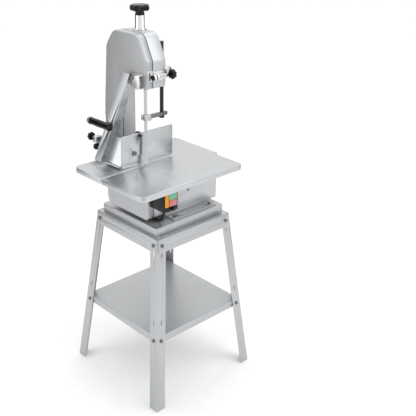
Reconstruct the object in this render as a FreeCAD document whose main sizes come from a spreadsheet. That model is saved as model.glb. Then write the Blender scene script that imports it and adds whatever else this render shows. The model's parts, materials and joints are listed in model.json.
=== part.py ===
import FreeCAD, Part
import Sketcher
import math
import os
import re

# Floor-standing bone saw for a butcher's shop: a two-wheel band saw on a splayed four-leg stand.
# Millimetres. X is the operator's right, Y runs away from the operator (the way meat is fed and
# the way the wheel axles lie), Z is up. Sizes are first laid out from the centre of the stand on
# the floor, and every piece is then moved by the same step, so that the origin ends at the middle
# of the whole machine's footprint.

V = FreeCAD.Vector
doc = FreeCAD.newDocument("bone_saw")
sheet = doc.addObject("Spreadsheet::Sheet", "sizes")

SIZES = [
    # stand
    ("foot_span", 530), ("rail_span_x", 376), ("rail_span_y", 384), ("rail_top", 711),
    ("rail_height", 54), ("rail_flange", 30), ("stand_sheet", 2), ("leg_width", 42),
    ("shelf_top", 315), ("shelf_lip", 30), ("tray_x", 328), ("tray_y", 356), ("tray_top", 746),
    ("tray_lip", 34), ("stand_bolt_radius", 4), ("keyhole_radius", 4.2), ("keyhole_drop", 14),
    # body and doors
    ("body_left", -138), ("body_right", 110), ("body_bottom", 757), ("base_top", 949),
    ("column_right", -62), ("throat_top", 1264), ("head_top", 1452), ("case_wall", 2.5),
    ("door_front", -173.5), ("door_depth", 28), ("door_wall", 2), ("seal_gap", 3), ("case_back", -85.5),
    ("lower_door_top", 946), ("panel_top", 1032), ("upper_door_bottom", 1036), ("housing_back", 191),
    ("housing_wall", 2), ("throat_radius", 55), ("hinge_pin_radius", 3), ("hinge_radius", 6.5),
    # wheels, blade and drive
    ("wheel_radius", 83), ("wheel_width", 20), ("wheel_center_x", -5), ("lower_wheel_z", 857),
    ("upper_wheel_z", 1361), ("blade_plane", -152), ("blade_width", 16), ("blade_thick", 0.6),
    ("tooth_depth", 2.4), ("tooth_pitch", 8), ("wheel_gap", 0.3), ("axle_radius", 8.5),
    ("hub_radius", 22), ("bearing_radius", 17.5), ("bearing_width", 11), ("motor_radius", 62),
    ("motor_length", 165),
    # tension screw
    ("screw_y", -104), ("sleeve_radius", 18), ("sleeve_height", 51), ("screw_radius", 7),
    ("tension_knob_radius", 36), ("tension_knob_height", 23), ("knob_hub_height", 14),
    ("carriage_width", 40), ("carriage_height", 52), ("tension_travel", 12),
    # blade guide
    ("post_x", 73), ("post_y", -70), ("post_radius", 7.2), ("post_bottom", 1146),
    ("post_length", 280), ("guide_bar_height", 13), ("guide_bar_width", 14),
    # table
    ("table_left", -88), ("table_width", 396), ("table_front", -361), ("table_length", 490),
    ("table_top", 971), ("table_sheet", 2.5), ("table_lip", 20), ("table_corner", 22),
    ("blade_slot", 4), ("notch_gap", 3),
    # fence
    ("fence_x", 56), ("fence_thick", 3), ("fence_front", -250), ("fence_back", -4),
    ("fence_top", 1096), ("fence_rod_z", 1021), ("fence_rod_y", -190), ("fence_rod_radius", 5),
    ("fence_rod_end", -198), ("fence_travel", 40),
    # pusher
    ("pusher_tilt", 15), ("pusher_pivot_y", -190), ("pusher_pivot_z", 1300),
    ("pusher_length", 327), ("pusher_flange", 38), ("pusher_web", 34), ("pusher_sheet", 2.5),
    ("pusher_top_x", 42), ("pusher_foot_x", -27), ("pusher_plate_right", 48),
    ("pusher_plate_height", 104), ("pusher_bracket_gap", 19), ("grip_length", 128), ("grip_radius", 14.5),
    # switch
    ("switch_depth", 80), ("switch_front", -160), ("switch_width", 66), ("switch_bottom", 815),
    ("switch_height", 84), ("button_travel", 4), ("cable_radius", 4),
]


def fill_sheet():
    for row, (name, value) in enumerate(SIZES, 1):
        sheet.set("A%d" % row, name)
        sheet.set("B%d" % row, str(value))
        sheet.setAlias("B%d" % row, name)
    doc.recompute()


fill_sheet()
NAMES = {name for name, value in SIZES}
WORD = re.compile(r"[a-z][a-z_]*")
nodes = {}


def size(expression):
    """The value of an expression in the sheet's names, such as "foot_span / 2"."""
    total = sheet.evalExpression(str(expression))
    return float(getattr(total, "Value", total))


def bound(expression):
    """The same expression, as a binding of another object to the sheet."""
    return WORD.sub(lambda m: "sizes." + m.group(0) if m.group(0) in NAMES else m.group(0),
                    str(expression))


# The step from the stand's centre to the middle of the machine's footprint
STEP_X = "(foot_span / 2 - table_left - table_width) / 2"
STEP_Y = "-(foot_span / 2 + table_front) / 2"
STEP = V(size(STEP_X), size(STEP_Y), 0)


def place(obj, x, y, z, rotation=None):
    """Puts an object at a point given by three expressions, with the common step added."""
    if rotation:
        obj.Placement = FreeCAD.Placement(V(), rotation)
    obj.setExpression("Placement.Base.x", bound("(%s) + %s" % (x, STEP_X)))
    obj.setExpression("Placement.Base.y", bound("(%s) + %s" % (y, STEP_Y)))
    obj.setExpression("Placement.Base.z", bound(z))
    return obj


def box(x0, x1, y0, y1, z0, z1):
    """A block between six planes, each an expression."""
    obj = doc.addObject("Part::Box", "block")
    for prop, low, high in (("Length", x0, x1), ("Width", y0, y1), ("Height", z0, z1)):
        obj.setExpression(prop, bound("(%s) - (%s)" % (high, low)))
    return place(obj, x0, y0, z0)


AXES = {"X": FreeCAD.Rotation(V(0, 1, 0), 90), "Y": FreeCAD.Rotation(V(1, 0, 0), -90),
        "Z": FreeCAD.Rotation()}


def rod(axis, radius, length, x, y, z):
    """A cylinder that runs along +X, +Y or +Z from a point."""
    obj = doc.addObject("Part::Cylinder", "rod")
    obj.setExpression("Radius", bound(radius))
    obj.setExpression("Height", bound(length))
    return place(obj, x, y, z, AXES[axis])


def fuse(*parts):
    obj = doc.addObject("Part::MultiFuse", "joined")
    obj.Shapes = list(parts)
    return obj


def cut(base, *tools):
    obj = doc.addObject("Part::Cut", "trimmed")
    obj.Base = base
    obj.Tool = tools[0] if len(tools) == 1 else fuse(*tools)
    return obj


def tube(axis, outer, inner, length, x, y, z):
    return cut(rod(axis, outer, length, x, y, z), rod(axis, inner, length, x, y, z))


def node(label, obj):
    """Names a finished sub-part; the name is also its file's."""
    obj.Label = label
    nodes[label] = obj
    return obj


def shaped(label, shape):
    """A sub-part whose outline is worked out below, moved by the common step."""
    obj = doc.addObject("Part::Feature", "shape")
    obj.Shape = shape
    obj.Placement = FreeCAD.Placement(STEP, FreeCAD.Rotation())
    return node(label, obj) if label else obj


def group(label, *parts):
    """Like pieces that share one node, each a solid of its own."""
    obj = doc.addObject("Part::Compound", "pieces")
    obj.Links = list(parts)
    return node(label, obj)


# ---- sketches -------------------------------------------------------------------------------

def plane_of(body, role):
    return next(item for item in body.Origin.OriginFeatures if item.Role == role)


def sketch_on(body, role, corners):
    """A closed outline of straight sides in one of the body's own planes, each corner bound."""
    sketch = body.newObject("Sketcher::SketchObject", "outline")
    sketch.AttachmentSupport = [(plane_of(body, role), "")]
    sketch.MapMode = "FlatFace"
    points = [V(size(a), size(b), 0) for a, b in corners]
    count = len(points)
    for i in range(count):
        sketch.addGeometry(Part.LineSegment(points[i], points[(i + 1) % count]))
    for i in range(count):
        sketch.addConstraint(Sketcher.Constraint("Coincident", i, 2, (i + 1) % count, 1))
    for i, corner in enumerate(corners):
        for kind, expression in zip(("DistanceX", "DistanceY"), corner):
            value = size(expression)
            index = sketch.addConstraint(Sketcher.Constraint(kind, -1, 1, i, 1, value))
            sketch.setExpression("Constraints[%d]" % index, bound(expression))
    return sketch


def circles_on(body, role, circles):
    """Circles (radius, u, v) in one of the body's own planes, radius and centre bound."""
    sketch = body.newObject("Sketcher::SketchObject", "circles")
    sketch.AttachmentSupport = [(plane_of(body, role), "")]
    sketch.MapMode = "FlatFace"
    for i, (radius, u, v) in enumerate(circles):
        center = V(size(u), size(v), 0)
        sketch.addGeometry(Part.Circle(center, V(0, 0, 1), size(radius)))
        bindings = (("Radius", (i, size(radius)), radius),
                    ("DistanceX", (-1, 1, i, 3, center.x), u),
                    ("DistanceY", (-1, 1, i, 3, center.y), v))
        for kind, values, expression in bindings:
            index = sketch.addConstraint(Sketcher.Constraint(kind, *values))
            sketch.setExpression("Constraints[%d]" % index, bound(expression))
    return sketch


def feature(body, kind, sketch, length, upward=False):
    """A pad or a pocket of a bound depth; a pocket goes up into the body when upward is set."""
    step = body.newObject("PartDesign::" + kind, kind.lower())
    step.Profile = sketch
    step.setExpression("Length", bound(length))
    step.Reversed = upward
    doc.recompute()
    return step


def round_edges(body, base, radius, wanted):
    names = ["Edge%d" % i for i, edge in enumerate(base.Shape.Edges, 1) if wanted(edge)]
    step = body.newObject("PartDesign::Fillet", "rounding")
    step.Base = (base, names)
    step.setExpression("Radius", bound(radius))
    doc.recompute()
    return step


def upright(edge):
    box_ = edge.BoundBox
    return box_.XLength < 1e-6 and box_.YLength < 1e-6


def turned(name, profile, x, y, z, axis="Z"):
    """A body of revolution: corners are (radius, height) along its axis."""
    body = doc.addObject("PartDesign::Body", name)
    sketch = sketch_on(body, "XZ_Plane", profile)
    turn = body.newObject("PartDesign::Revolution", "turn")
    turn.Profile = sketch
    turn.ReferenceAxis = (sketch, ["V_Axis"])
    turn.Angle = 360
    place(body, x, y, z, AXES[axis])
    doc.recompute()
    return body


def sheet_tray(name, x0, x1, y0, y1, top, lip, thick, corner):
    """A folded sheet with its edges turned down all round."""
    body = doc.addObject("PartDesign::Body", name)
    outer = [(x0, y0), (x1, y0), (x1, y1), (x0, y1)]
    pad = feature(body, "Pad", sketch_on(body, "XY_Plane", outer), lip)
    block = round_edges(body, pad, corner, upright)
    under = ["Face%d" % i for i, face in enumerate(block.Shape.Faces, 1)
             if face.BoundBox.ZMax < 1e-6]
    step = body.newObject("PartDesign::Thickness", "hollow")
    step.Base = (block, under)
    step.setExpression("Value", bound(thick))
    step.Reversed = True
    place(body, "0", "0", "%s - %s" % (top, lip))
    doc.recompute()
    return body


# ---- outlines with round corners ------------------------------------------------------------

def rounded(corners, y):
    """A closed wire in the plane Y = y from (x, z, radius) corners."""
    points = [V(a, y, b) for a, b, r in corners]
    count = len(points)
    edges = []
    ends = []
    for i, (a, b, radius) in enumerate(corners):
        here = points[i]
        back = (points[i - 1] - here).normalize()
        ahead = (points[(i + 1) % count] - here).normalize()
        half = back.getAngle(ahead) / 2
        reach = radius / math.tan(half)
        middle = (back + ahead).normalize()
        center = here + middle * (radius / math.sin(half))
        start = here + back * reach
        end = here + ahead * reach
        edges.append(Part.Arc(start, center - middle * radius, end).toShape())
        ends.append((start, end))
    sides = [Part.makeLine(ends[i][1], ends[(i + 1) % count][0]) for i in range(count)]
    return Part.Wire([edge for pair in zip(edges, sides) for edge in pair])


def prism(wire, depth):
    return Part.Face(wire).extrude(V(0, depth, 0))


def head_corners():
    """The upper wheel's cover, from the throat's corner over the top to the left side."""
    right = size("body_right")
    left = size("body_left")
    top = size("head_top")
    throat = size("throat_top")
    center = size("wheel_center_x")
    return [(size("column_right"), throat - 2, size("throat_radius")), (right, throat, 9),
            (right, top - 88, 36), (right - 44, top, 38), (center - 70, top, 42),
            (left + 20, top - 58, 45), (left, top - 292, 200)]


def pan(wire, front, depth, wall, edge):
    """A shallow pressed cover, open to the back, with a rounded front edge."""
    def solid(outline, face, run, radius):
        block = prism(outline, run)
        front_edges = [e for e in block.Edges if e.BoundBox.YMax < face + 1e-6]
        return block.makeFillet(radius, front_edges)
    inner = wire.makeOffset2D(-wall)
    inner.translate(V(0, wall, 0))
    return solid(wire, front, depth, edge).cut(solid(inner, front + wall, depth, edge - wall))


def block_at(x0, x1, y0, y1, z0, z1):
    return Part.makeBox(x1 - x0, y1 - y0, z1 - z0, V(x0, y0, z0))


# ---- stand ----------------------------------------------------------------------------------

def half_spans(z):
    """Where the outer corner of a splayed leg lies at a height, from the stand's centre."""
    inset = size("stand_sheet") + 0.3
    share = z / size("rail_top")
    foot = size("foot_span") / 2
    return (foot + (size("rail_span_x") / 2 - inset - foot) * share,
            foot + (size("rail_span_y") / 2 - inset - foot) * share)


def leg_point(side_x, side_y, facing, z, inset):
    """A point on a leg's outer face and that face's outward direction."""
    x, y = half_spans(z)
    foot = size("foot_span") / 2
    top_x, top_y = half_spans(size("rail_top"))
    if facing == "X":
        return V(side_x * x, side_y * (y - inset), z), V(side_x, 0, (foot - top_x) / size("rail_top"))
    return V(side_x * (x - inset), side_y * y, z), V(0, side_y, (foot - top_y) / size("rail_top"))


def leg_section(side_x, side_y, z):
    x, y = half_spans(z)
    wide = size("leg_width")
    thin = size("stand_sheet")
    steps = [(0, 0), (wide, 0), (wide, thin), (thin, thin), (thin, wide), (0, wide), (0, 0)]
    return Part.makePolygon([V(side_x * (x - a), side_y * (y - b), z) for a, b in steps])


RAIL_BOLT_Z = "rail_top - 27"
SHELF_BOLT_Z = "shelf_top - 17"
BOLT_INSET = 22
CORNERS = ((1, -1), (-1, -1), (1, 1), (-1, 1))


def through(point, direction, radius, back, ahead):
    start = point - direction.normalize() * back
    return Part.makeCylinder(radius, back + ahead, start, direction)


def keyhole(side_x, side_y, facing, z):
    """A round hole with a narrower slot running down from it."""
    top, normal = leg_point(side_x, side_y, facing, z, BOLT_INSET)
    low, normal_low = leg_point(side_x, side_y, facing, z - size("keyhole_drop"), BOLT_INSET)
    radius = size("keyhole_radius")
    slot = [through(top, normal, radius, 9, 9)]
    for step in range(1, 5):
        slot.append(through(top + (low - top) * (step / 4), normal, radius * 0.66, 9, 9))
    return slot


def bolt(point, direction, grip):
    """A cap-head bolt through a point of an outer face, with its nut behind the sheets."""
    out = direction.normalize()
    radius = size("stand_bolt_radius")
    seat = point + out * 0.05
    head = Part.makeCylinder(radius * 1.7, 4, seat, out)
    head = head.makeFillet(1.2, [e for e in head.Edges if (e.CenterOfMass - seat).dot(out) > 3.9])
    shank = Part.makeCylinder(radius, grip + 7, seat - out * (grip + 7), out)
    nut = Part.makeCylinder(radius * 1.6, 5, point - out * (grip + 5), out)
    bore = Part.makeCylinder(radius + 0.05, 5, point - out * (grip + 5), out)
    return [head.fuse(shank), nut.cut(bore)]


def make_legs():
    legs = []
    for side_x, side_y in CORNERS:
        top = size("rail_top") - size("stand_sheet") - 0.3
        sections = [leg_section(side_x, side_y, 0), leg_section(side_x, side_y, top)]
        leg = Part.makeLoft(sections, True, True)
        holes = []
        for facing in "XY":
            for z in (size(RAIL_BOLT_Z), size(SHELF_BOLT_Z)):
                point, normal = leg_point(side_x, side_y, facing, z, BOLT_INSET)
                holes.append(through(point, normal, size("stand_bolt_radius") + 0.4, 9, 9))
            for z in (size("rail_top") - 60, size("shelf_top") + 64):
                holes += keyhole(side_x, side_y, facing, z)
        legs.append(leg.cut(holes))
    shaped("stand_legs", Part.makeCompound(legs))


def rail(turn, span, length_span):
    """A rail along one side: a sloping face over the legs and a flange under the tray."""
    top = size("rail_top")
    tall = size("rail_height")
    thin = size("stand_sheet")
    slope = (size("foot_span") - span) / 2 / top * tall
    out = span / 2
    section = [(-out, top), (-out - slope, top - tall), (-out - slope + thin, top - tall),
               (-out + thin, top - thin), (-out + size("rail_flange"), top - thin),
               (-out + size("rail_flange"), top), (-out, top)]
    long = length_span - 6
    blank = Part.Face(Part.makePolygon([V(-long / 2, y, z) for y, z in section]))
    blank = blank.extrude(V(long, 0, 0))
    if turn in (90, 270):
        trim = size("rail_flange") + 3
        for end in (-1, 1):
            block = Part.makeBox(trim, size("rail_flange"), 6)
            start = -length_span / 2 if end < 0 else length_span / 2 - trim
            block.translate(V(start, -out + thin + 0.2, top - 4))
            blank = blank.cut(block)
    blank.rotate(V(), V(0, 0, 1), turn)
    holes = []
    for side_x, side_y in CORNERS:
        for facing in "XY":
            point, normal = leg_point(side_x, side_y, facing, size(RAIL_BOLT_Z), BOLT_INSET)
            holes.append(through(point, normal, size("stand_bolt_radius") + 0.4, 9, 9))
    return blank.cut(holes)


def make_rails():
    x = size("rail_span_x")
    y = size("rail_span_y")
    rails = [rail(0, y, x), rail(90, x, y), rail(180, y, x), rail(270, x, y)]
    shaped("stand_rails", Part.makeCompound(rails))


def make_stand_bolts():
    bolts = []
    for side_x, side_y in CORNERS:
        for facing in "XY":
            point, normal = leg_point(side_x, side_y, facing, size(RAIL_BOLT_Z), BOLT_INSET)
            outside = size("stand_sheet") + 0.3
            bolts += bolt(point + normal.normalize() * outside, normal, 2 * outside + 0.2)
            point, normal = leg_point(side_x, side_y, facing, size(SHELF_BOLT_Z), BOLT_INSET)
            bolts += bolt(point, normal, 7.4)
    shaped("stand_bolts", Part.makeCompound(bolts))


def make_shelf():
    """A tray inside the legs, its turned-down edge bolted to them."""
    x, y = half_spans(size("shelf_top"))
    gap = size("stand_sheet") + 0.5
    thin = size("stand_sheet")
    top = size("shelf_top")
    lip = size("shelf_lip")
    outer = block_at(-x + gap, x - gap, -y + gap, y - gap, top - lip, top)
    rim = [e for e in outer.Edges if e.BoundBox.ZMin > top - 0.01 or upright(e)]
    outer = outer.makeFillet(3, rim)
    inner = block_at(-x + gap + thin, x - gap - thin, -y + gap + thin, y - gap - thin,
                     top - lip - 1, top - thin)
    holes = []
    for side_x, side_y in CORNERS:
        for facing in "XY":
            point, normal = leg_point(side_x, side_y, facing, size(SHELF_BOLT_Z), BOLT_INSET)
            holes.append(through(point, normal, size("stand_bolt_radius") + 1.2, 12, 9))
    shaped("stand_shelf", outer.cut(inner).cut(holes))


FOOT_BOLTS = [("(tray_x / 2 - 14 + body_right) / 2", -56), ("(tray_x / 2 - 14 + body_right) / 2", 132),
              ("(body_left - tray_x / 2 + 6) / 2", -56), ("(body_left - tray_x / 2 + 6) / 2", 132)]


def make_stand():
    make_legs()
    make_rails()
    make_stand_bolts()
    make_shelf()
    tray = sheet_tray("tray", "-tray_x / 2", "tray_x / 2", "-tray_y / 2", "tray_y / 2",
                      "tray_top", "tray_lip", "stand_sheet", "6")
    holes = [rod("Z", 4.6, 20, x, y, "tray_top - 10") for x, y in FOOT_BOLTS]
    node("stand_tray", cut(tray, *holes))


# ---- body, doors and what joins them --------------------------------------------------------

CASE_FRONT = "door_front + door_depth + seal_gap"


def case_outline(y):
    right = size("body_right")
    left = size("body_left")
    bottom = size("body_bottom")
    base_top = size("base_top")
    corners = [(left, bottom, 30), (right, bottom, 16), (right, base_top, 3),
               (size("column_right"), base_top, 3)] + head_corners()
    return rounded(corners, y)


def make_casing():
    """The C-shaped wheel housing, open at the front where the doors close it."""
    front = size(CASE_FRONT)
    back = size("case_back")
    wall = size("case_wall")
    outer = prism(case_outline(front), back - front)
    inner = prism(case_outline(front).makeOffset2D(-wall), back - front - wall)
    shell = outer.cut(inner)
    center = size("wheel_center_x")
    shaft_hole = Part.makeCylinder(26.2, 40, V(center, back - 20, size("lower_wheel_z")), V(0, 1, 0))
    screw_hole = Part.makeCylinder(size("screw_radius") + 0.8, 40,
                                   V(center, size("screw_y"), size("head_top") - 20))
    cable_hole = Part.makeCylinder(9, 20, V(size("body_right - 26"), size("switch_front + 32"),
                                              size("body_bottom") - 5))
    shaped("body_casing", shell.cut([shaft_hole, screw_hole, cable_hole]))


def door(label, corners, cuts):
    shell = pan(rounded(corners, size("door_front")), size("door_front"), size("door_depth"),
                size("door_wall"), 6)
    shaped(label, shell.cut(cuts))


def seal(label, corners, gaps):
    """The rubber strip in the joint behind a door."""
    front = size("door_front") + size("door_depth") + 0.3
    wire = rounded(corners, front)
    ring = prism(wire, size("seal_gap") - 0.6).cut(
        prism(wire.makeOffset2D(-6), size("seal_gap") - 0.6))
    shaped(label, ring.cut(gaps))


def make_doors():
    left = size("body_left")
    column = size("column_right")
    right = size("body_right")
    front = size("door_front")
    back = size(CASE_FRONT) + 2
    blade = size("wheel_center_x + wheel_radius")
    bottom = size("upper_door_bottom")
    throat = size("throat_top")
    upper = [(left, bottom, 9), (column, bottom, 9)] + head_corners()
    blade_gap = block_at(blade - 5, blade + 6, front + 6, back, throat - 6, throat + 9)
    loop_gap = block_at(left + 10, column - 6, front + 6, back, bottom - 1, bottom + 9)
    door("upper_door", upper, [blade_gap, loop_gap])
    seal("upper_door_seal", upper, [blade_gap, loop_gap])
    top = size("lower_door_top")
    lower = [(left, size("body_bottom"), 30), (right, size("body_bottom"), 16), (right, top, 9),
             (left, top, 9)]
    blade_gap = block_at(blade - 5, blade + 6, front + 6, back, top - 8, top + 1)
    loop_gap = block_at(left + 10, 55, front + 6, back, top - 8, top + 1)
    door("lower_door", lower, [blade_gap, loop_gap])
    seal("lower_door_seal", lower, [blade_gap, loop_gap])
    panel = box("body_left", "column_right", "door_front", CASE_FRONT + " - 0.2",
                "lower_door_top + 4", "panel_top")
    hollow = box("body_left + door_wall", "column_right - door_wall", "door_front + door_wall",
                 CASE_FRONT, "lower_door_top + 3", "panel_top + 1")
    node("column_panel", cut(panel, hollow))


HINGE_X = "body_left - 7"
HINGE_Y = "door_front + door_depth + 2"
DOOR_HINGES = {"upper": ("upper_door_bottom + 20", "upper_door_bottom + 86"),
               "lower": ("body_bottom + 34", "lower_door_top - 34")}
KNUCKLE = 14


def knuckle(z, rise, side):
    """One knuckle of a hinge and its leaf, on the casing (side 1) or on the door (side -1)."""
    low = "%s + %s" % (z, rise)
    high = "%s + %s" % (low, KNUCKLE)
    barrel = rod("Z", "hinge_radius", KNUCKLE, HINGE_X, HINGE_Y, low)
    near, mid, far = ("%s + %s" % (HINGE_Y, side * reach) for reach in (1.3, 4.5, 26))
    first, middle, last = (near, mid, far) if side > 0 else (far, mid, near)
    web = box(HINGE_X, "body_left - 0.2", *((first, middle) if side > 0 else (middle, last)), low, high)
    leaf = box("body_left - 3", "body_left - 0.2", first, last, low, high)
    bore = rod("Z", "hinge_pin_radius + 0.05", KNUCKLE + 2, HINGE_X, HINGE_Y, low + " - 1")
    return cut(fuse(barrel, web, leaf), bore)


def make_hinges():
    """Each door hangs on two hinges: fixed knuckles outside, the door's knuckle between them."""
    fixed = []
    pins = []
    for door_name, heights in DOOR_HINGES.items():
        moving = []
        for z in heights:
            fixed.append(knuckle(z, -KNUCKLE - 0.4, 1))
            fixed.append(knuckle(z, KNUCKLE + 0.4, 1))
            moving.append(knuckle(z, 0, -1))
            pins.append(rod("Z", "hinge_pin_radius", 3 * KNUCKLE + 4, HINGE_X, HINGE_Y,
                            "%s - %s" % (z, KNUCKLE + 2)))
        group("%s_door_hinge_leaves" % door_name, *moving)
    group("door_hinges", *fixed, *pins)


def make_base():
    """The motor's housing, its floor and the feet that bolt the saw to the stand."""
    shell = box("body_left", "body_right", "case_back + 0.2", "housing_back", "body_bottom + 2.3",
                "base_top")
    hollow = box("body_left + housing_wall", "body_right - housing_wall",
                 "case_back + 0.2 + housing_wall", "housing_back - housing_wall",
                 "body_bottom + 2", "base_top - housing_wall")
    shaft_hole = rod("Y", 27, 20, "wheel_center_x", "case_back - 5", "lower_wheel_z")
    gland_hole = rod("Y", 8.2, 20, "body_left + 40", "housing_back - 12", "body_bottom + 40")
    screw = rod("X", 3.6, 4, "body_right - 1.9", 36, "body_bottom + 74")
    group("motor_housing", cut(shell, hollow, shaft_hole, gland_hole,
                               rod("X", 3.65, 9, "body_right - 5", 36, "body_bottom + 74")), screw)
    floor = box("body_left", "body_right", "case_back + 0.2", "housing_back", "body_bottom",
                "body_bottom + 2")
    opening = box(-70, 62, "case_back + 16", 36, "body_bottom - 1", "body_bottom + 3")
    node("base_floor", cut(floor, opening))
    feet = []
    bolts = []
    for x_out, x_in in (("tray_x / 2 - 14", "body_right - 38"), ("-tray_x / 2 + 6", "body_left + 40")):
        low, high = sorted((x_out, x_in), key=size)
        flange = box(low, high, -74, 152, "tray_top", "tray_top + 4")
        inner_low, inner_high = sorted((x_in, "body_right - 6" if size(x_in) > 0 else "body_left + 6"),
                                       key=size)
        riser = box(inner_low, inner_high, -74, 152, "tray_top + 4", "body_bottom")
        slots = []
        for middle, y in FOOT_BOLTS:
            slots.append(rod("Z", 4.6, 20, middle, y, "tray_top - 8"))
            slots.append(box("%s - 12" % middle, "%s + 12" % middle, y + 12 if y < 0 else y - 20,
                             y + 20 if y < 0 else y - 12, "tray_top - 2", "tray_top + 6"))
        feet.append(cut(fuse(flange, riser), *slots))
    for x, y in FOOT_BOLTS:
        head = rod("Z", 7, 5, x, y, "tray_top + 4.05")
        shank = rod("Z", 4, 17, x, y, "tray_top - 12")
        bolts += [fuse(head, shank), tube("Z", 7, 4.05, 6, x, y, "tray_top - stand_sheet - 6.05")]
    group("mounting_feet", *feet)
    group("mounting_bolts", *bolts)


# ---- wheels, blade, drive and tension -------------------------------------------------------

def wheel(label, bore, z):
    """A cast wheel with a flat rim, a thin web with round windows and a hub."""
    half = "wheel_width / 2"
    rim = "wheel_radius"
    profile = [(bore, "-14"), ("hub_radius", "-14"), ("hub_radius", "-4"),
               (rim + " - 12", "-4"), (rim + " - 12", "-" + half), (rim, "-" + half),
               (rim, half), (rim + " - 12", half), (rim + " - 12", "4"), ("hub_radius", "4"),
               ("hub_radius", "14"), (bore, "14")]
    body = turned(label, profile, "wheel_center_x", "blade_plane", z, "Y")
    ring = size("(hub_radius + wheel_radius - 12) / 2")
    holes = []
    for i in range(5):
        turn = math.radians(72 * i + 90)
        holes.append(("(wheel_radius - 12 - hub_radius) / 2 - 6", ring * math.cos(turn),
                      ring * math.sin(turn)))
    pocket = feature(body, "Pocket", circles_on(body, "XY_Plane", holes), 20)
    pocket.Midplane = True
    doc.recompute()
    node(label, body)


def stadium(radius, y):
    """The blade's path: two half circles round the wheels and the straight runs between them."""
    x = size("wheel_center_x")
    low = size("lower_wheel_z")
    high = size("upper_wheel_z")
    over = Part.Arc(V(x - radius, y, high), V(x, y, high + radius), V(x + radius, y, high))
    under = Part.Arc(V(x + radius, y, low), V(x, y, low - radius), V(x - radius, y, low))
    down = Part.makeLine(V(x + radius, y, high), V(x + radius, y, low))
    up = Part.makeLine(V(x - radius, y, low), V(x - radius, y, high))
    return Part.Wire([over.toShape(), down, under.toShape(), up])


def make_blade():
    inner = size("wheel_radius + wheel_gap")
    outer = inner + size("blade_thick")
    front = size("blade_plane - blade_width / 2")
    width = size("blade_width")
    band = prism(stadium(outer, front), width).cut(prism(stadium(inner, front), width))
    x = size("wheel_center_x")
    low = size("base_top") + 4
    high = size("throat_top") - 4
    pitch = size("tooth_pitch")
    gullets = []
    for i in range(int((high - low) / pitch)):
        z = low + i * pitch
        corners = [V(x + inner - 1, front - 1, z + pitch * 0.15), V(x + inner - 1, front - 1, z + pitch),
                   V(x + inner - 1, front + size("tooth_depth"), z + pitch * 0.45),
                   V(x + inner - 1, front - 1, z + pitch * 0.15)]
        gullets.append(Part.Face(Part.makePolygon(corners)).extrude(V(size("blade_thick") + 2, 0, 0)))
    shaped("blade", band.cut(gullets))


def make_drive():
    center = "wheel_center_x"
    low = "lower_wheel_z"
    wheel("lower_wheel", "axle_radius", low)
    wheel("upper_wheel", "bearing_radius", "upper_wheel_z")
    node("drive_shaft", fuse(rod("Y", "axle_radius", 291, center, "blade_plane - 17", low),
                             rod("Y", 12, 3.2, center, "blade_plane - 17.5", low)))
    housing = tube("Y", 26, "bearing_radius", 58, center, -133, low)
    collar = tube("Y", 38, 26, 6, center, "case_back + housing_wall + 0.4", low)
    ring = [tube("Y", "bearing_radius", "axle_radius + 0.05", "bearing_width", center, y, low)
            for y in ("-132", "-90")]
    group("bearing_housing", fuse(housing, collar), *ring)
    group("upper_bearings", *[tube("Y", "bearing_radius", "axle_radius + 0.05", "bearing_width",
                                   center, "blade_plane + %s" % y, "upper_wheel_z")
                              for y in (-13, 2)])
    shell = tube("Y", "motor_radius", "motor_radius - 6", "motor_length", center, -62, low)
    bells = [tube("Y", "motor_radius - 5", "axle_radius + 0.6", 8, center, y, low)
             for y in ("-62", "-62 + motor_length - 8")]
    box_ = box("wheel_center_x + 8", "wheel_center_x + 58", -40, 20, "lower_wheel_z + motor_radius - 22",
               "lower_wheel_z + motor_radius + 12")
    hollow = rod("Y", "motor_radius - 3", "motor_length - 20", center, -52, low)
    case = fuse(shell, bells[0], bells[1], cut(box_, hollow))
    node("motor_rotor", tube("Y", "motor_radius - 14", "axle_radius", "motor_length - 60", center,
                             -32, low))
    hub = tube("Y", 20, "axle_radius", 14, center, "-62 + motor_length + 4", low)
    blades = []
    for i in range(7):
        vane = Part.makeBox(30, 12, 2.5, V(17, 0, -1.2))
        vane.rotate(V(), V(1, 0, 0), 35)
        vane.rotate(V(), V(0, 1, 0), 360 * i / 7)
        vane.translate(V(size(center), size("-62 + motor_length + 4"), size(low)))
        blades.append(vane)
    vanes = shaped(None, blades[0].multiFuse(blades[1:]))
    node("cooling_fan", fuse(hub, vanes))
    saddle = cut(box("wheel_center_x - 40", "wheel_center_x + 40", 46, 90, "body_bottom + 2.1", low),
                 rod("Y", "motor_radius + 0.1", 60, center, 40, low))
    group("motor_case", case, saddle)
    node("motor_capacitor", rod("Y", 17, 70, "body_left + 24", 40, "body_bottom + 19.1"))


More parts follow.
